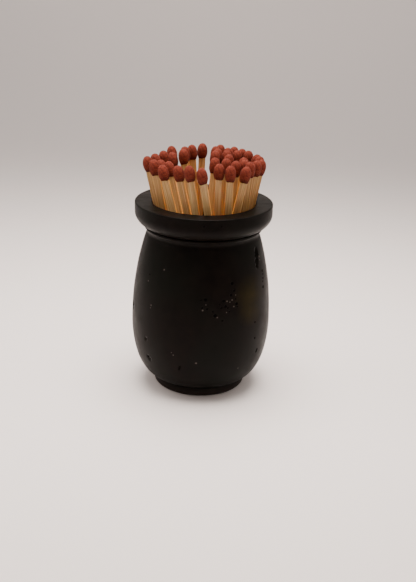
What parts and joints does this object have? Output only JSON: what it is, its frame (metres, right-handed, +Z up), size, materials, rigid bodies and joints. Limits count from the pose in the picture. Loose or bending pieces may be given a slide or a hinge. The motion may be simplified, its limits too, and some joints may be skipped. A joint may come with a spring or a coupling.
{
  "type": "match striker",
  "caption": "Small round black cast pot with a wide flat rim, filled with loose red-headed wooden matches, with a striking disc set into its foot.",
  "frame": {"origin": "centre of the foot's resting ring, on the surface the pot stands on", "axes": "+Z up along the pot's axis; -Y is the front that faces the viewer of the picture, +X is to its right"},
  "size_m": [0.0463, 0.0462, 0.0786],
  "materials": {
    "cement": "satin",
    "striking_paper": "matte",
    "splint_wood": "matte",
    "match_head": "matte"
  },
  "bodies": {
    "root": {"heads_left_1": "match_head", "heads_left_2": "match_head", "heads_left_3": "match_head", "heads_left_4": "match_head", "heads_right_1": "match_head", "heads_right_2": "match_head", "heads_right_3": "match_head", "heads_right_4": "match_head", "heads_right_5": "match_head", "heads_right_6": "match_head", "pot": "cement", "splint_left_01": "splint_wood", "splint_left_02": "splint_wood", "splint_left_03": "splint_wood", "splint_left_04": "splint_wood", "splint_left_05": "splint_wood", "splint_left_06": "splint_wood", "splint_left_07": "splint_wood", "splint_left_08": "splint_wood", "splint_left_09": "splint_wood", "splint_left_10": "splint_wood", "splint_left_11": "splint_wood", "splint_left_12": "splint_wood", "splint_left_13": "splint_wood", "splint_left_14": "splint_wood", "splint_left_15": "splint_wood", "splint_left_16": "splint_wood", "splint_right_01": "splint_wood", "splint_right_02": "splint_wood", "splint_right_03": "splint_wood", "splint_right_04": "splint_wood", "splint_right_05": "splint_wood", "splint_right_06": "splint_wood", "splint_right_07": "splint_wood", "splint_right_08": "splint_wood", "splint_right_09": "splint_wood", "splint_right_10": "splint_wood", "splint_right_11": "splint_wood", "splint_right_12": "splint_wood", "splint_right_13": "splint_wood", "splint_right_14": "splint_wood", "splint_right_15": "splint_wood", "splint_right_16": "splint_wood", "splint_right_17": "splint_wood", "splint_right_18": "splint_wood", "splint_right_19": "splint_wood", "splint_right_20": "splint_wood", "splint_right_21": "splint_wood", "splint_right_22": "splint_wood", "splint_right_23": "splint_wood", "splint_right_24": "splint_wood", "striking_disc": "striking_paper"}
  },
  "joints": []
}
